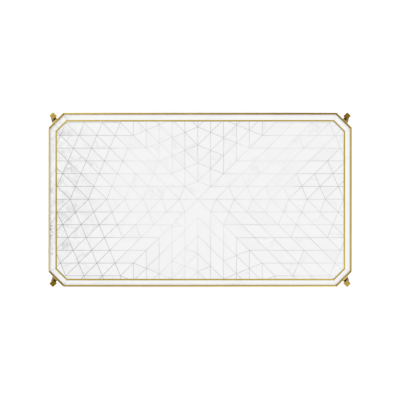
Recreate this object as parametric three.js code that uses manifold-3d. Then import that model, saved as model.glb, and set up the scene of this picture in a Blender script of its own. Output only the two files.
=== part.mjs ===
// Dresser vanity tray: a clipped-corner panel of inlaid marble in a brass rim, on four splayed brass
// legs. Millimetres, +X along the length, +Z up. The origin is on the table, under the panel's centre.
import * as THREE from 'three';
import { mergeVertices } from 'three/addons/utils/BufferGeometryUtils.js';
import Module from 'manifold-3d';

const wasm = await Module();
wasm.setup();

// The panel's outline, over the rim
const panelLength = 356;
const panelWidth = 204;
const cornerCut = 17.7; // leg of each 45 degree corner cut, on the rim's outer face
const panelRise = 36; // table to the underside of the panel

// The panel's layers, from the underside up
const veneerThickness = 0.8;
const boardThickness = 9;
const beddingThickness = 1.2;
const stoneThickness = 4;
const joint = 0.1; // glue, grout or solder line between two fixed pieces

// The edge band, the marble border and the inlaid line, from the outside in
const rimThickness = 1.8;
const rimProud = 1.2; // top of the rim above the stone
const borderWidth = 6;
const inlayWidth = 1.4;
const inlayShift = new THREE.Vector2(0.2, -0.5); // the line is laid by hand, a little off centre

// The clip that carries each leg: a C-shaped strap round the panel's edge, screwed up into the board
const clipWidth = 6;
const clipThickness = 0.6;
const clipLip = 1.4; // how far it laps over the rim
const clipReach = 20; // how far it runs in under the panel
const clipOffset = -1.5; // along the corner cut, towards the middle of the long side
const screwInsets = [8, 15]; // rim's outer face to the centre of each screw
const screwRadius = 1.1;
const screwLength = 8;
const screwHeadRadius = 2.1;
const screwHeadHeight = 1.3;
const screwFit = 0.3;

// The legs
const legSide = 4.6;
const legSplay = 0.23; // outward along X for each unit of fall
const legStandOff = 5.8; // rim's outer face to the leg's centre line, level with the top of the rim
const legOffset = 1.3; // along the corner cut, towards the middle of the long side
const capSide = 6.2;
const capHeight = 3;
const capBevel = 0.7;
const capRise = 1.2; // top of the cap above the rim
const armWidth = 3.6;
const armHeight = 5;
const armDrop = 9; // top of the rim to the top of the arm
const padSide = 4;
const padThickness = 1.5;

// Levels above the table
const veneerLow = panelRise;
const boardLow = veneerLow + veneerThickness + joint;
const beddingLow = boardLow + boardThickness + joint;
const stoneLow = beddingLow + beddingThickness + joint;
const rimTop = stoneLow + stoneThickness + rimProud;

const finish = (color, roughness, metalness) =>
  new THREE.MeshStandardMaterial({ color, roughness, metalness });
const brass = finish(0xb08d42, 0.25, 1);
const fieldMarble = finish(0xf1f1f0, 0.3, 0);
const borderMarble = finish(0xf4f4f3, 0.3, 0);
const mortar = finish(0xcfccc6, 0.9, 0);
const fibreboard = finish(0x8f7355, 0.85, 0);
const walnut = finish(0x5a3d28, 0.5, 0);
const rubber = finish(0x2b2b2b, 0.8, 0);

const tray = new THREE.Group();

function place(name, geometry, material, parent = tray) {
  const mesh = new THREE.Mesh(geometry, material);
  mesh.name = name;
  parent.add(mesh);
  return mesh;
}

// A flat shape, from z = 0 up
function slab(corners, thickness) {
  const shape = new THREE.Shape(corners);
  return new THREE.ExtrudeGeometry(shape, { depth: thickness, bevelEnabled: false });
}

// The eight corners of the clipped outline, a distance in from the rim's outer face, anticlockwise
// from the front end of the right-hand side
function outline(inset, shift = new THREE.Vector2()) {
  const x = panelLength / 2 - inset;
  const y = panelWidth / 2 - inset;
  const cut = cornerCut - inset * (2 - Math.SQRT2);
  const corners = [
    [x, cut - y], [x, y - cut], [x - cut, y], [cut - x, y],
    [-x, y - cut], [-x, cut - y], [cut - x, -y], [x - cut, -y],
  ];
  return corners.map(([cornerX, cornerY]) => new THREE.Vector2(cornerX, cornerY).add(shift));
}

// A band between two outlines, in eight strips that meet at mitres
const sideNames = [
  'right', 'back_right', 'back', 'back_left', 'left', 'front_left', 'front', 'front_right',
];

function band(prefix, outer, inner, low, thickness, material) {
  sideNames.forEach((side, i) => {
    const next = (i + 1) % sideNames.length;
    const along = new THREE.Vector2().subVectors(outer[next], outer[i]);
    const trim = along.setLength(joint / 2);
    const strip = [
      outer[i].clone().add(trim), outer[next].clone().sub(trim),
      inner[next].clone().sub(trim), inner[i].clone().add(trim),
    ];
    place(`${prefix}_${side}`, slab(strip, thickness), material).position.z = low;
  });
}

const boardInset = rimThickness + joint;
const inlayInset = boardInset + borderWidth + joint;
const mosaicInset = inlayInset + inlayWidth + joint;

band('rim', outline(0), outline(rimThickness), veneerLow, rimTop - veneerLow, brass);
band('border', outline(boardInset), outline(inlayInset - joint, inlayShift),
  stoneLow, stoneThickness, borderMarble);
band('inlay', outline(inlayInset, inlayShift), outline(mosaicInset - joint, inlayShift),
  stoneLow, stoneThickness, brass);
place('mosaic', slab(outline(mosaicInset, inlayShift), stoneThickness), fieldMarble)
  .position.z = stoneLow;
place('bedding', slab(outline(boardInset), beddingThickness), mortar).position.z = beddingLow;

// A corner's own frame stands on the rim's outer face, at the middle of the corner cut and level with
// the top of the rim, +X out of the panel and +Y along the cut. hand is 1 where +Y runs towards the
// middle of the long side, and -1 where it runs away from it.
const corners = [
  { name: 'back_right', quarter: 0, hand: 1 },
  { name: 'back_left', quarter: 1, hand: -1 },
  { name: 'front_left', quarter: 2, hand: 1 },
  { name: 'front_right', quarter: 3, hand: -1 },
].map(({ name, quarter, hand }) => {
  const turn = Math.PI / 4 + quarter * Math.PI / 2;
  const frame = new THREE.Group();
  frame.position.set(
    Math.sign(Math.cos(turn)) * (panelLength - cornerCut) / 2,
    Math.sign(Math.sin(turn)) * (panelWidth - cornerCut) / 2,
    rimTop,
  );
  frame.rotation.z = turn;
  frame.updateMatrix();
  tray.add(frame);
  return { name, hand, frame };
});

// Booleans
function solidOf(geometry, matrix = new THREE.Matrix4()) {
  const bare = new THREE.BufferGeometry();
  const flat = geometry.index ? geometry.toNonIndexed() : geometry;
  bare.setAttribute('position', flat.getAttribute('position').clone());
  const merged = mergeVertices(bare.applyMatrix4(matrix), 1e-4);
  return new wasm.Manifold(new wasm.Mesh({
    numProp: 3,
    vertProperties: merged.getAttribute('position').array,
    triVerts: new Uint32Array(merged.index.array),
  }));
}

function cut(geometry, tools) {
  const solid = tools.reduce((rest, tool) => rest.subtract(tool), solidOf(geometry));
  const { vertProperties, triVerts } = solid.getMesh();
  const result = new THREE.BufferGeometry();
  result.setAttribute('position', new THREE.BufferAttribute(vertProperties, 3));
  result.setIndex(new THREE.BufferAttribute(triVerts, 1));
  result.computeVertexNormals();
  return result;
}

// Each screw's seat is on the clip's lower face, with the screw pointing up.
const clipLow = veneerLow - joint - clipThickness - rimTop;
const screwSeats = (hand) =>
  screwInsets.map((inset) => new THREE.Vector3(-inset, hand * clipOffset, clipLow));

function screwHole(seat) {
  const radius = screwRadius + screwFit;
  const depth = screwLength + screwFit;
  const hole = new THREE.CylinderGeometry(radius, radius, depth + 1, 20).rotateX(Math.PI / 2);
  return hole.translate(seat.x, seat.y, seat.z + (depth - 1) / 2);
}

const boardHoles = (low) => corners.flatMap(({ hand, frame }) => {
  const toLayer = new THREE.Matrix4().makeTranslation(0, 0, -low).multiply(frame.matrix);
  return screwSeats(hand).map((seat) => solidOf(screwHole(seat), toLayer));
});
place('board', cut(slab(outline(boardInset), boardThickness), boardHoles(boardLow)), fibreboard)
  .position.z = boardLow;
place('veneer', cut(slab(outline(boardInset), veneerThickness), boardHoles(veneerLow)), walnut)
  .position.z = veneerLow;

// A profile in a corner's X and Z, drawn out along Y about y = 0
function bar(profile, width) {
  const points = profile.map(([x, z]) => new THREE.Vector2(x, z));
  const shape = slab(points, width);
  return shape.translate(0, 0, -width / 2).rotateX(Math.PI / 2);
}

function clipGeometry(hand) {
  const back = joint + clipThickness;
  const profile = [
    [-clipLip, joint], [joint, joint], [joint, clipLow + clipThickness],
    [-clipReach, clipLow + clipThickness], [-clipReach, clipLow], [back, clipLow],
    [back, back], [-clipLip, back],
  ];
  const strap = bar(profile, clipWidth).translate(0, hand * clipOffset, 0);
  return cut(strap, screwSeats(hand).map((seat) => solidOf(screwHole(seat))));
}

function screwGeometry() {
  const profile = [
    [0, -screwHeadHeight], [screwHeadRadius * 0.6, -screwHeadHeight],
    [screwHeadRadius, -screwHeadHeight * 0.5], [screwHeadRadius, 0], [screwRadius, 0],
    [screwRadius, screwLength - screwRadius], [0, screwLength],
  ];
  const points = profile.map(([radius, height]) => new THREE.Vector2(radius, height));
  return new THREE.LatheGeometry(points, 20).rotateX(Math.PI / 2);
}

// How far the leg's centre line has moved, out of the panel and along the cut, below the rim's top
const slant = legSplay / Math.SQRT2;

function shankGeometry(hand, top, low) {
  const shank = new THREE.BoxGeometry(legSide, legSide, top - low);
  shank.translate(0, 0, (top + low) / 2);
  shank.applyMatrix4(new THREE.Matrix4().makeShear(0, 0, 0, 0, -slant, hand * slant));
  return shank.translate(legStandOff, hand * legOffset, 0);
}

// The arm runs from the clip to the leaning face of the shank.
function armGeometry(hand) {
  const top = -armDrop;
  const low = top - armHeight;
  const middle = (top + low) / 2;
  const start = 2 * joint + clipThickness;
  const end = (z) => legStandOff - legSide / 2 - slant * z - joint;
  const arm = bar([[start, low], [end(low), low], [end(top), top], [start, top]], armWidth);
  return arm.translate(0, hand * (legOffset + slant * middle), 0);
}

function capGeometry() {
  const half = capSide / 2;
  const square = new THREE.Shape([[-half, -half], [half, -half], [half, half], [-half, half]]
    .map(([x, y]) => new THREE.Vector2(x, y)));
  const cap = new THREE.ExtrudeGeometry(square, {
    depth: capHeight - 2 * capBevel,
    bevelThickness: capBevel,
    bevelSize: capBevel,
    bevelOffset: -capBevel,
    bevelSegments: 2,
  });
  return cap.translate(0, 0, capBevel);
}

for (const { name, hand, frame } of corners) {
  const capLow = capRise - capHeight;
  const padTop = padThickness - rimTop;
  const foot = legStandOff - slant * padTop;
  const footAlong = hand * (legOffset + slant * padTop);

  place(`clip_${name}`, clipGeometry(hand), brass, frame);
  screwSeats(hand).forEach((seat, i) => {
    const end = i === 0 ? 'outer' : 'inner';
    place(`screw_${name}_${end}`, screwGeometry(), brass, frame)
      .position.set(seat.x, seat.y, seat.z);
  });
  place(`arm_${name}`, armGeometry(hand), brass, frame);
  place(`shank_${name}`, shankGeometry(hand, capLow - joint, padTop + joint), brass, frame);
  place(`cap_${name}`, capGeometry(), brass, frame)
    .position.set(legStandOff, hand * legOffset, capLow);
  place(`pad_${name}`, new THREE.BoxGeometry(padSide, padSide, padThickness), rubber, frame)
    .position.set(foot, footAlong, padTop - padThickness / 2);
}

export default tray;
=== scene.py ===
import math
import random

import bmesh
import bpy
from mathutils import Matrix, Vector


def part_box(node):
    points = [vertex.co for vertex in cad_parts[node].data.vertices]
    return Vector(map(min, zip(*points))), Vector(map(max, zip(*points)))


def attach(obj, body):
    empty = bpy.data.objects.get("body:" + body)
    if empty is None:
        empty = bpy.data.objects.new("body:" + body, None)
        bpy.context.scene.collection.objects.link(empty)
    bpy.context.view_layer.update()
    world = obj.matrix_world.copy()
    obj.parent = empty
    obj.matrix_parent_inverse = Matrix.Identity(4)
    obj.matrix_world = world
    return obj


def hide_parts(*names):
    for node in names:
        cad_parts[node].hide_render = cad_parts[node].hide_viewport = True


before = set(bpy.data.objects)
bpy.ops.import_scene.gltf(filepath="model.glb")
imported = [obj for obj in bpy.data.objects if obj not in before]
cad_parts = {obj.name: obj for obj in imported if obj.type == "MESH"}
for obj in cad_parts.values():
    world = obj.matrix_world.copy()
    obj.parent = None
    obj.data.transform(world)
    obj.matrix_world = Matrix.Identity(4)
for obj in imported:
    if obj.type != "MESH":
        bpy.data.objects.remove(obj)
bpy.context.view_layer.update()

# The view: from straight above the middle of the tray, square to it, with the length across. The
# panel fills three quarters of the frame's width.
rim_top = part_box("rim_back")[1].z
camera_data = bpy.data.cameras.new("camera")
camera_data.lens = 50
camera_data.sensor_width = 36
frame_width = 0.4688
camera_height = frame_width * camera_data.lens / camera_data.sensor_width
camera = bpy.data.objects.new("camera", camera_data)
camera_x, camera_y = -0.0001, -0.0003
camera.location = (camera_x, camera_y, rim_top + camera_height)
bpy.context.scene.collection.objects.link(camera)
bpy.context.scene.camera = camera


# Board: 9 mm fibreboard, cut to the clipped outline, that carries the stone and takes the clips'
# screws. The rim, the veneer and the bedding cover it all over.
class Value:
    """An output of one of a finish's nodes. Arithmetic on it adds Math nodes."""

    def __init__(self, finish, socket):
        self.finish = finish
        self.socket = socket

    def math(self, operation, *values):
        return self.finish.node("Math", {"operation": operation}, dict(enumerate(values)))

    def __add__(self, other):
        return self.math("ADD", self, other)

    def __radd__(self, other):
        return self.math("ADD", other, self)

    def __sub__(self, other):
        return self.math("SUBTRACT", self, other)

    def __rsub__(self, other):
        return self.math("SUBTRACT", other, self)

    def __mul__(self, other):
        return self.math("MULTIPLY", self, other)

    def __rmul__(self, other):
        return self.math("MULTIPLY", other, self)

    def __abs__(self):
        return self.math("ABSOLUTE", self)

    def rise(self, low, high):
        """0 up to low, 1 from high on, and a smooth rise between them."""
        settings = {"interpolation_type": "SMOOTHSTEP"}
        inputs = {"Value": self, "From Min": low, "From Max": high}
        return self.finish.node("MapRange", settings, inputs)


class Nodes:
    """A node tree. node() takes a node's type, its settings, and its sockets' values or links."""

    def __init__(self, tree):
        self.tree = tree

    def put(self, socket, value):
        if isinstance(value, Value):
            self.tree.links.new(value.socket, socket)
        else:
            socket.default_value = value

    def node(self, kind, settings, inputs, output=0):
        made = self.tree.nodes.new("ShaderNode" + kind)
        for name, value in settings.items():
            setattr(made, name, value)
        for name, value in inputs.items():
            self.put(made.inputs[name], value)
        return Value(self, made.outputs[output])


class Finish(Nodes):
    """A material with one Principled shader, and the nodes that feed it."""

    def __init__(self, name):
        self.material = bpy.data.materials.new(name)
        self.material.use_nodes = True
        super().__init__(self.material.node_tree)
        self.shader = self.tree.nodes["Principled BSDF"]
        self.place = self.node("TexCoord", {}, {}, "Object")

    def noise(self, scale, detail=2.0, place=None, output=0):
        inputs = {"Vector": place or self.place, "Scale": scale, "Detail": detail}
        return self.node("TexNoise", {}, inputs, output)

    def stretched(self, factors, place=None):
        inputs = {0: place or self.place, 1: factors}
        return self.node("VectorMath", {"operation": "MULTIPLY"}, inputs)

    def moved(self, place, direction, amount):
        step = self.node("VectorMath", {"operation": "SCALE"}, {0: direction, "Scale": amount})
        return self.node("VectorMath", {"operation": "ADD"}, {0: place, 1: step})

    def axis(self, letter):
        return self.node("SeparateXYZ", {}, {0: self.place}, letter)

    def mix(self, factor, first, second):
        inputs = {0: factor, 6: first, 7: second}
        return self.node("Mix", {"data_type": "RGBA"}, inputs, 2)

    def bump(self, height, distance, strength=1.0):
        inputs = {"Height": height, "Distance": distance, "Strength": strength}
        self.put(self.shader.inputs["Normal"], self.node("Bump", {}, inputs))

    def surface(self, colour, roughness, metallic=0.0):
        self.put(self.shader.inputs["Base Color"], colour)
        self.put(self.shader.inputs["Roughness"], roughness)
        self.put(self.shader.inputs["Metallic"], metallic)


def fibreboard():
    finish = Finish("fibreboard")
    fibres = finish.noise(900, 4, finish.stretched((1, 1, 3)))
    light, dark = (0.33, 0.22, 0.12, 1), (0.20, 0.125, 0.06, 1)
    finish.surface(finish.mix(fibres, dark, light), 0.85 + 0.1 * fibres)
    finish.bump(fibres, 0.0002)
    return finish


def dress(node, finish):
    """Gives a CAD node that is kept as it is its finish."""
    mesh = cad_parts[node].data
    mesh.materials.clear()
    mesh.materials.append(finish.material)


dress("board", fibreboard())


# Bedding: a thin layer of grey mortar, spread over the board, that the stone is set in. It can't be
# seen once the stone is laid, but for the hairlines between the strips.
def mortar():
    finish = Finish("bedding_mortar")
    sand = finish.noise(2500, 3)
    light, dark = (0.66, 0.65, 0.62, 1), (0.5, 0.49, 0.46, 1)
    finish.surface(finish.mix(sand, dark, light), 0.9)
    finish.bump(sand, 0.0001)
    return finish


dress("bedding", mortar())


# Veneer: a balancing sheet of dark walnut, oiled, with its grain along the length. It is glued to the
# board's underside, and has a hole for each screw.
def walnut():
    finish = Finish("walnut_veneer")
    wander = finish.noise(6, 3, finish.stretched((1, 3, 1)))
    rings = finish.node(
        "TexWave",
        {"wave_type": "BANDS", "bands_direction": "Y"},
        {"Vector": finish.place, "Scale": 22, "Distortion": 9, "Detail": 4, "Detail Scale": 0.6},
    )
    pores = finish.noise(700, 3, finish.stretched((0.06, 1, 1))).rise(0.56, 0.72)
    fibres = finish.noise(1500, 3, finish.stretched((0.03, 1, 1)))
    tone = (0.3 * rings + 0.5 * wander + 0.45 * fibres).rise(0.15, 1.0)
    light, dark = (0.155, 0.078, 0.036, 1), (0.045, 0.022, 0.011, 1)
    deep = (0.018, 0.009, 0.005, 1)
    grain = finish.mix(tone, dark, light)
    finish.surface(finish.mix(0.7 * pores, grain, deep), 0.42 + 0.3 * pores)
    finish.bump(1 - pores, 0.0001, 0.6)
    return finish


dress("veneer", walnut())


# Rim: eight lengths of brass strip, set on edge round the board, soldered at their mitres and brushed
# along their length. The top edge is eased by hand, and stands a little above the stone.
touching = 1e-6  # metres: points that are nearer to each other than this are one
aged = (0.80, 0.60, 0.17, 1), (0.34, 0.215, 0.02, 1)  # brass where it is bright, and dull
brightened = (0.98, 0.86, 0.52, 1), (0.62, 0.45, 0.12, 1)  # the same, lightened to paint the brighter reflection on the left side
warm, umber = (0.66, 0.455, 0.17, 1), (0.33, 0.205, 0.065, 1)  # the patina on faces that go unrubbed
score = (0.16, 0.09, 0.02, 1)  # dirt in the brush marks


def brass(name, shade, turn=0.0, reflection_spread=0, tones=aged, polished=0):
    """Aged brass. shade, 0 to 1, is its tarnish, and the spread argument paints reflection into it,
    darker at two of the corners and lighter at the other two. turn is the way its brushing runs. Just
    below the height polished it turns to a warmer patina."""
    finish = Finish(name)
    turned = finish.node("Mapping", {}, {"Vector": finish.place, "Rotation": (0, 0, -turn)})
    brushing = finish.noise(1, 2, finish.stretched((60, 3500, 3500), turned))
    cloud = finish.noise(38, 5)
    spots = finish.noise(420, 3).rise(0.66, 0.72)
    ripple = finish.noise(90, 1)
    # Painted reflection: lighter at two corners and darker at the other two, as the soft boxes fall.
    corner = reflection_spread * (finish.axis("X") * finish.axis("Y"))
    tarnish_and_reflection = shade + corner + 0.7 * (cloud - 0.5) + 0.3 * spots
    colour = finish.mix(tarnish_and_reflection.rise(0, 1), *tones)
    if polished:
        patina = (0.5 + 0.8 * (cloud - 0.5) + 0.4 * spots).rise(0, 1)
        below = 1 - finish.axis("Z").rise(polished - 0.0012, polished - 0.0003)
        colour = finish.mix(below, colour, finish.mix(patina, warm, umber))
    scored = finish.mix(0.25 * brushing, colour, score)
    finish.surface(scored, 0.16 + 0.16 * brushing + 0.12 * cloud + 0.1 * spots, 1.0)
    finish.bump(ripple + 0.12 * brushing, 0.00005, 0.6)
    return finish


def merged(node):
    """A copy of a CAD node with its doubles merged and its flat faces whole."""
    shape = bmesh.new()
    shape.from_mesh(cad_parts[node].data)
    bmesh.ops.remove_doubles(shape, verts=shape.verts, dist=touching)
    flat = math.radians(1)
    bmesh.ops.dissolve_limit(shape, angle_limit=flat, verts=shape.verts, edges=shape.edges)
    return shape


def rounded(node, radius, segments=2):
    """A copy of a CAD node with its sharp edges rounded."""
    shape = merged(node)
    slight = math.radians(30)
    sharp = [edge for edge in shape.edges if edge.calc_face_angle(0) > slight]
    bmesh.ops.bevel(
        shape, geom=sharp, offset=radius, offset_type="OFFSET", segments=segments,
        profile=0.5, affect="EDGES", material=-1, clamp_overlap=True,
    )
    return shape


def piece(name, shape, finish, slot, *nodes):
    """Makes a shape a piece of the tray, which stands for the CAD nodes named."""
    crease = math.radians(50)
    for face in shape.faces:
        face.smooth = True
    for edge in shape.edges:
        edge.smooth = edge.calc_face_angle(0) < crease
    mesh = bpy.data.meshes.new(name)
    shape.to_mesh(mesh)
    shape.free()
    mesh.materials.append(finish.material)
    made = bpy.data.objects.new(name, mesh)
    bpy.context.scene.collection.objects.link(made)
    made.modifiers.new("even_faces", "WEIGHTED_NORMAL").keep_sharp = True
    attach(made, "root")
    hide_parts(*nodes)


sides = ["right", "back_right", "back", "back_left", "left", "front_left", "front", "front_right"]
runs = [math.pi / 2, -math.pi / 4, 0, math.pi / 4] * 2  # the way each side runs
rim_edge = 0.0004
# Each side's tarnish is also set lighter or darker to paint the reflection seen on that side, and the
# spreads paint lighter and darker reflections towards the corners. The left side takes lightened
# brass for its bright reflection.
rim_tarnish_and_reflection = [0.0, 0.65, 0.5, 0.65, 0.1, 0.7, 0.18, 0.65]
rim_reflection_spread = [-14, 0, 24, 0, -14, 0, 14, 0]
for side, run, tarnish_and_reflection, reflection_spread in zip(sides, runs, rim_tarnish_and_reflection, rim_reflection_spread):
    node = "rim_" + side
    tones = brightened if side == "left" else aged
    rim_brass = brass(node + "_brass", tarnish_and_reflection, run, reflection_spread, tones, rim_top)
    piece("brass_" + node, rounded(node, rim_edge, 3), rim_brass, "brass", node)


# Border: eight mitred strips of plain white marble, honed, with their edges just broken. They are
# bedded in mortar between the rim and the inlaid line.
grey, soil = (0.46, 0.47, 0.485, 1), (0.07, 0.06, 0.05, 1)


def marble(name, white, tiled):
    """White marble with faint grey clouds and thin veins, which thicken towards the left end. Tiles
    are each from another part of the block; strips have dirt in them along part of the left rim."""
    finish = Finish(name)
    place = finish.place
    if tiled:
        tile = finish.node("Attribute", {"attribute_name": "tile"}, {}, "Fac")
        place = finish.moved(place, (1.3, 2.1, 0.7), tile)
    end = 1 - finish.axis("X").rise(-0.172, -0.10)
    bent = finish.moved(place, finish.noise(12, 3, place, "Color"), 0.06)
    clouds = finish.noise(24, 5, bent).rise(0.45, 0.8)
    crack = abs(finish.noise(16, 4, bent) - 0.5)
    veins = (1 - crack.rise(0, 0.016)) * finish.noise(10, 2, place).rise(0.5, 0.62)
    mottle = finish.noise(160, 4).rise(0.35, 0.75) * finish.noise(16, 2).rise(0.35, 0.6)
    amount = clouds * (0.07 + 0.2 * end) + veins * (0.13 + 0.3 * end) + 0.4 * (mottle * end)
    tone = finish.mix(amount, white, grey)
    if tiled:
        lot = finish.node("TexWhiteNoise", {"noise_dimensions": "1D"}, {"W": tile})
        tone = finish.mix(0.02 * lot + 0.035 * lot.rise(0.98, 0.985), tone, grey)
    else:
        by_rim = 1 - finish.axis("X").rise(-0.1745, -0.1715)
        stretch = 1 - abs(finish.axis("Y") + 0.045).rise(0.012, 0.03)
        specks = finish.noise(420, 2).rise(0.54, 0.66) * by_rim * stretch
        tone = finish.mix(0.85 * specks, tone, soil)
    crystals = finish.noise(1400, 2)
    finish.surface(tone, 0.22 + 0.14 * crystals)
    finish.bump(crystals, 0.000006, 0.25)
    finish.shader.inputs["Specular IOR Level"].default_value = 0.15
    finish.shader.inputs["Coat Weight"].default_value = 0.05
    finish.shader.inputs["Coat Roughness"].default_value = 0.15
    return finish


border_edge = 0.0002
border_marble = marble("border_marble", (0.95, 0.95, 0.955, 1), False)
for side in sides:
    node = "border_" + side
    piece("marble_" + node, rounded(node, border_edge), border_marble, "border_marble", node)


# Inlaid line: eight lengths of yellower brass strip, mitred and set on edge between the border and
# the mosaic. They are bedded with the stone, and ground flush with it.
inlay_edge = 0.00012
yellow = (0.88, 0.66, 0.06, 1), (0.40, 0.26, 0.01, 1)
# Each side's tarnish is also set lighter or darker to paint the reflection seen on that side.
inlay_tarnish_and_reflection = [0.15, 0.3, 0.05, 0.35, -0.25, -0.1, 0.15, 0.5]
for side, run, tarnish_and_reflection in zip(sides, runs, inlay_tarnish_and_reflection):
    node = "inlay_" + side
    inlay_brass = brass(node + "_brass", tarnish_and_reflection, run, tones=yellow)
    piece("brass_" + node, rounded(node, inlay_edge), inlay_brass, "brass", node)


# Mosaic: a star of marble tiles round a point near the tray's middle, bedded in the mortar. Each
# eighth of it is ruled three ways, parallel to its two edges and across it, into triangles, and some
# pairs of triangles are cut as one lozenge.
star = Vector((-0.0027, 0.0006, 0))
spoke = Vector((0.0214, 0.0212, 0))  # from ring to ring of the star, along the tray and across it
eighths = 8
rings = 13
hair = 1e-5  # metres: lines that are nearer to each other than this are one
stone_low, stone_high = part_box("mosaic")[0].z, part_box("mosaic")[1].z


def spoke_step(eighth):
    angle = math.tau * eighth / eighths
    return Vector((math.cos(angle) * spoke.x, math.sin(angle) * spoke.y, 0))


def eighth_of(point):
    across = (point.x - star.x) / spoke.x
    up = (point.y - star.y) / spoke.y
    return int(math.atan2(up, across) % math.tau / math.tau * eighths) % eighths


def top_of(node):
    """The top face of a CAD slab, alone."""
    sheet = merged(node)
    rest = [face for face in sheet.faces if face.normal.z < 0.5]
    bmesh.ops.delete(sheet, geom=rest, context="FACES")
    return sheet


def rule(sheet, faces, point, along):
    """Cuts the faces along a line."""
    geometry = set(faces)
    for face in faces:
        geometry.update(face.edges, face.verts)
    across = Vector((-along.y, along.x, 0)).normalized()
    bmesh.ops.bisect_plane(sheet, geom=list(geometry), plane_co=point, plane_no=across, dist=hair)


def ruled_sheet():
    sheet = top_of("mosaic")
    for spoke_line in range(eighths // 2):
        rule(sheet, list(sheet.faces), star, spoke_step(spoke_line))
    for eighth in range(eighths):
        first, second = spoke_step(eighth), spoke_step(eighth + 1)
        for ring in range(1, rings):
            for point, along in (
                (star + ring * first, second),
                (star + ring * second, first),
                (star + ring * first, second - first),
            ):
                wedge = [f for f in sheet.faces if eighth_of(f.calc_center_median()) == eighth]
                rule(sheet, wedge, point, along)
    return sheet


def is_chord(edge):
    """Does an edge run across its eighth, rather than parallel to one of the eighth's edges?"""
    middle = (edge.verts[0].co + edge.verts[1].co) / 2
    eighth = eighth_of(middle)
    across = (spoke_step(eighth + 1) - spoke_step(eighth)).normalized()
    along = (edge.verts[1].co - edge.verts[0].co).normalized()
    return abs(across.dot(along)) > 0.999


def lozenge_chance(point):
    """How likely two triangles at a point are to be one lozenge: never at the left end, seldom behind
    the centre, always just in front of it, and to its sides more often away from the middle line."""
    arm = point - star
    if arm.x < -0.09:
        return 0
    if abs(arm.x) >= abs(arm.y):
        return min(0.75, abs(arm.y) / 0.06)
    if arm.y > 0:
        return 0.12
    return 1 if arm.y > -0.06 else 0.35


def merge_some(sheet):
    """Joins pairs of triangles into lozenges, the tiles above and below the star's centre into
    kites, and slivers at the edge into their neighbours."""
    draw = random.Random(8)
    joined = []
    for edge in sheet.edges:
        in_two_triangles = [len(face.verts) for face in edge.link_faces] == [3, 3]
        if not (in_two_triangles and is_chord(edge)):
            continue
        middle = (edge.verts[0].co + edge.verts[1].co) / 2
        if draw.random() < lozenge_chance(middle):
            joined.append(edge)
    for edge in sheet.edges:
        first, second = edge.verts
        upright = abs(first.co.x - second.co.x) < hair
        if upright and min((vert.co - star).xy.length for vert in edge.verts) < hair:
            joined.append(edge)
    bmesh.ops.dissolve_edges(sheet, edges=joined, use_verts=False)
    sliver = 8e-6  # square metres
    for face in [f for f in sheet.faces if f.calc_area() < sliver]:
        if not face.is_valid:
            continue
        shared = [e for e in face.edges if len(e.link_faces) == 2]
        if shared:
            longest = max(shared, key=lambda e: e.calc_length())
            bmesh.ops.dissolve_edges(sheet, edges=[longest], use_verts=False)


joint_width = 0.00035
least_side = 0.0008  # shorter sides of a cell are closed up, or its joints would cross
least_tile = 1e-6  # square metres: anything smaller is left to the grout
sheet = ruled_sheet()
merge_some(sheet)
short = [edge for edge in sheet.edges if edge.calc_length() < least_side]
bmesh.ops.collapse(sheet, edges=short)
cells = list(sheet.faces)
bmesh.ops.inset_individual(sheet, faces=cells, thickness=joint_width / 2, use_even_offset=True)
sheet.faces.index_update()
tile_numbers = {face.index for face in cells if face.calc_area() > least_tile}
joint_numbers = set(range(len(sheet.faces))) - tile_numbers


def part_of(sheet, numbers):
    shape = sheet.copy()
    shape.faces.ensure_lookup_table()
    rest = [face for face in shape.faces if face.index not in numbers]
    bmesh.ops.delete(shape, geom=rest, context="FACES")
    return shape


def thicken(shape, thickness):
    """Draws flat faces down into closed slabs."""
    result = bmesh.ops.extrude_face_region(shape, geom=list(shape.faces), use_keep_orig=True)
    moved = [item for item in result["geom"] if isinstance(item, bmesh.types.BMVert)]
    bmesh.ops.translate(shape, verts=moved, vec=(0, 0, -thickness))
    bmesh.ops.recalc_face_normals(shape, faces=shape.faces)


def islands(shape):
    """The separate bodies of a shape, each as a list of faces."""
    left = set(shape.faces)
    while left:
        body = []
        reach = [min(left, key=lambda face: face.index)]
        left.discard(reach[0])
        while reach:
            face = reach.pop()
            body.append(face)
            for edge in face.edges:
                for other in edge.link_faces:
                    if other in left:
                        left.discard(other)
                        reach.append(other)
        yield body


tile_edge = 0.00012
lean = math.radians(0.12)  # the most that a tile is out of level
tiles = part_of(sheet, tile_numbers)
thicken(tiles, stone_high - stone_low)
upper = [e for e in tiles.edges if min(v.co.z for v in e.verts) > stone_high - touching]
bmesh.ops.bevel(
    tiles, geom=upper, offset=tile_edge, offset_type="OFFSET", segments=1, profile=0.5,
    affect="EDGES", material=-1, clamp_overlap=True,
)
bmesh.ops.dissolve_degenerate(tiles, edges=tiles.edges, dist=touching)
tile_layer = tiles.faces.layers.float.new("tile")
tiles.faces.index_update()
lay = random.Random(21)
for body in islands(tiles):
    lot = lay.random()
    points = list(dict.fromkeys(vert for face in body for vert in face.verts))
    middle = sum((vert.co for vert in points), Vector()) / len(points)
    roll = Matrix.Rotation(lay.uniform(-lean, lean), 3, "X")
    pitch = Matrix.Rotation(lay.uniform(-lean, lean), 3, "Y")
    bmesh.ops.rotate(tiles, cent=middle, matrix=roll @ pitch, verts=points)
    for face in body:
        face[tile_layer] = lot

tile_marble = marble("mosaic_marble", (0.915, 0.915, 0.915, 1), True)
piece("mosaic_tiles", tiles, tile_marble, "mosaic_marble", "mosaic")


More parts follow.
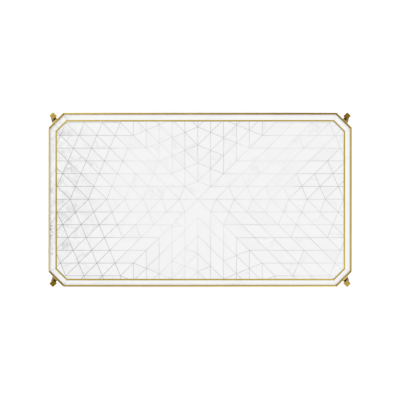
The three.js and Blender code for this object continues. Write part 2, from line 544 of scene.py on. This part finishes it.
# Grout: fine, pale grout, rubbed into the mosaic's joints and wiped back just below the stone. It has
# darkened with use, most of all towards the left end.
def grout():
    finish = Finish("grout")
    sand = finish.noise(3000, 2)
    wear = finish.noise(14, 3).rise(0.3, 0.7)
    end = 1 - finish.axis("X").rise(-0.165, -0.05)
    low = 1 - finish.axis("Y").rise(-0.09, 0.05)
    dirt = 0.06 + 0.5 * wear + 0.42 * end + 0.15 * end * low
    clean, dirty = (0.80, 0.79, 0.775, 1), (0.15, 0.145, 0.135, 1)
    finish.surface(finish.mix(dirt.rise(0, 1), clean, dirty), 0.85)
    finish.bump(sand, 0.00005)
    return finish


grout_depth = 0.0001
joints = part_of(sheet, joint_numbers)
thicken(joints, stone_high - stone_low - grout_depth)
bmesh.ops.translate(joints, verts=joints.verts, vec=(0, 0, -grout_depth))
piece("mosaic_grout", joints, grout(), "mortar", "mosaic")
sheet.free()


# Legs: four lengths of square brass bar with softened edges, patinated to a dark bronze that is made
# darker still to paint the shade under the caps and the dark reflections on the legs. Each is
# splayed outwards along the tray, and soldered to the arm that holds it.
corners = ["back_right", "back_left", "front_left", "front_right"]
bar_edge = 0.0005
bronze, sable, bare = (0.20, 0.125, 0.03, 1), (0.055, 0.034, 0.010, 1), (0.42, 0.28, 0.09, 1)


def bronzed(name, shade, reflection_spread=0):
    """Brass under a brown patina, worn thin in places. shade, 0 to 1, is how dark it is, and the
    spread argument paints it darker at two of the corners and lighter at the other two, as painted
    reflection."""
    finish = Finish(name)
    cloud = finish.noise(60, 5)
    rubbed = finish.noise(300, 4, finish.stretched((1, 1, 0.25)))
    # Painted reflection: darker at two corners and lighter at the other two.
    corner = reflection_spread * (finish.axis("X") * finish.axis("Y"))
    depth = (shade + corner + 0.8 * (cloud - 0.5)).rise(0, 1)
    brown = finish.mix(depth, bronze, sable)
    thin = rubbed.rise(0.58, 0.75)
    finish.surface(finish.mix(0.5 * thin, brown, bare), 0.65 - 0.25 * thin, 0.15 + 0.5 * thin)
    finish.shader.inputs["Specular IOR Level"].default_value = 0.2
    finish.bump(cloud + 0.2 * rubbed, 0.00005, 0.5)
    return finish


# The legs' darkness is partly painted shade and dark reflection. The spread paints the back left and
# front right legs darker.
bar_bronze_and_shade = bronzed("bar_bronze_and_shade", 0.5, -14)
for corner in corners:
    node = "shank_" + corner
    piece("bar_" + node, rounded(node, bar_edge, 3), bar_bronze_and_shade, "brass", node)


# Arms: short lengths of flat brass bar, each silver-soldered between a clip and its leg. They are
# made darker than the legs to paint the shade that falls on them under the caps.
arm_edge = 0.0003
# Painted shade: the arms are made this dark for the shade under the caps.
shaded_arm_bronze = bronzed("shaded_arm_bronze", 0.9)
for corner in corners:
    node = "arm_" + corner
    piece("bar_" + node, rounded(node, arm_edge), shaded_arm_bronze, "brass", node)


# Clips: C-shaped straps of thin brass, one to a leg. Each hooks over the rim, runs down its face and
# in under the panel, and is held to the board by two screws.
clip_edge = 0.00015
# The spread paints the clips and screws lighter at two corners and darker at the other two, as
# painted reflection.
clip_brass = brass("clip_brass", 0.2, reflection_spread=8, polished=rim_top)
for corner in corners:
    node = "clip_" + corner
    piece("strap_" + node, rounded(node, clip_edge), clip_brass, "brass", node)


# Screws: small brass screws with slotted pan heads. Two go up through each clip, and through the
# veneer into the board.
screw_edge = 0.00012
slot_margin, slot_width, slot_depth = 0.0001, 0.0006, 0.0006


def slotted(node, along):
    """A copy of a CAD screw, its edges rounded, with a slot sunk in the underside of its head."""
    shape = rounded(node, screw_edge)
    head = min(shape.faces, key=lambda face: face.calc_center_median().z)
    middle = head.calc_center_median()
    bmesh.ops.inset_region(shape, faces=[head], thickness=slot_margin, use_even_offset=True)
    across = Vector((-along.y, along.x, 0))
    inner = [head]
    for side in (-1, 1):
        rule(shape, inner, middle + side * slot_width / 2 * across, along)
        inner = [f for f in shape.faces if abs(f.calc_center_median().z - middle.z) < touching]
    strip = min(inner, key=lambda face: (face.calc_center_median() - middle).length)
    sunk = bmesh.ops.extrude_face_region(shape, geom=[strip, *strip.edges])
    moved = [item for item in sunk["geom"] if isinstance(item, bmesh.types.BMVert)]
    bmesh.ops.translate(shape, verts=moved, vec=(0, 0, slot_depth))
    return shape


turned_in = random.Random(4)
for corner in corners:
    for end in ("outer", "inner"):
        node = "screw_" + corner + "_" + end
        angle = turned_in.uniform(0, math.pi)
        along = Vector((math.cos(angle), math.sin(angle), 0))
        piece("pan_" + node, slotted(node, along), clip_brass, "brass", node)


# Caps: square brass caps with broad bevels round the top and bottom, soldered on the legs. They stand
# just above the rim.
cap_edge = 0.0002
# The spread paints the caps lighter at two corners and darker at the other two, as painted
# reflection.
cap_brass = brass("cap_brass", 0.75, reflection_spread=14)
for corner in corners:
    node = "cap_" + corner
    piece("bevelled_" + node, rounded(node, cap_edge), cap_brass, "brass", node)


# Pads: small squares of black rubber, glued under the legs. They keep the brass off the table, and
# the tray from sliding.
def rubber():
    finish = Finish("black_rubber")
    grain = finish.noise(1800, 3)
    black, dusty = (0.012, 0.012, 0.012, 1), (0.03, 0.03, 0.03, 1)
    finish.surface(finish.mix(grain, black, dusty), 0.7)
    finish.bump(grain, 0.0001)
    return finish


pad_edge = 0.0003
pad_rubber = rubber()
for corner in corners:
    node = "pad_" + corner
    piece("rubber_" + node, rounded(node, pad_edge), pad_rubber, "rubber", node)


# The floor: a plain white table top, larger than any view of it. It glows a little, which keeps it
# white all round the tray's soft shadow.
def white_floor():
    finish = Finish("white_floor")
    finish.surface((0.9, 0.9, 0.9, 1), 0.9)
    finish.shader.inputs["Specular IOR Level"].default_value = 0.1
    finish.shader.inputs["Emission Color"].default_value = (1, 1, 1, 1)
    finish.shader.inputs["Emission Strength"].default_value = 0.42
    return finish


floor_reach = 40
floor_shape = bmesh.new()
bmesh.ops.create_grid(floor_shape, x_segments=1, y_segments=1, size=floor_reach)
floor_mesh = bpy.data.meshes.new("floor")
floor_shape.to_mesh(floor_mesh)
floor_shape.free()
floor_mesh.materials.append(white_floor().material)
floor = bpy.data.objects.new("floor", floor_mesh)
bpy.context.scene.collection.objects.link(floor)


# The light: a white surround, dimmer overhead, and two broad soft boxes that face each other across
# the tray, on the left behind it and on the right in front.
world = bpy.data.worlds.new("studio")
world.use_nodes = True
studio = Nodes(world.node_tree)
toward = studio.node("TexCoord", {}, {}, "Generated")
overhead = studio.node("SeparateXYZ", {}, {0: toward}, "Z").rise(0.2, 0.95)
full = studio.node("Background", {}, {"Color": (1, 1, 1, 1), "Strength": 1.0})
half = studio.node("Background", {}, {"Color": (1, 1, 1, 1), "Strength": 0.5})
surround = studio.node("MixShader", {}, {0: overhead, 1: full, 2: half})
studio.put(world.node_tree.nodes["World Output"].inputs["Surface"], surround)
bpy.context.scene.world = world


def soft_box(name, place):
    """A square light at a place, turned to the tray."""
    data = bpy.data.lights.new(name, "AREA")
    data.size = 2.8
    data.energy = 18.8
    light = bpy.data.objects.new(name, data)
    light.location = place
    light.rotation_euler = (-Vector(place)).to_track_quat("-Z", "Y").to_euler()
    bpy.context.scene.collection.objects.link(light)


soft_box("box_back_left", (-1.2, 1.2, 1.3))
soft_box("box_front_right", (1.2, -1.2, 1.3))
bpy.context.scene.view_settings.view_transform = "Standard"
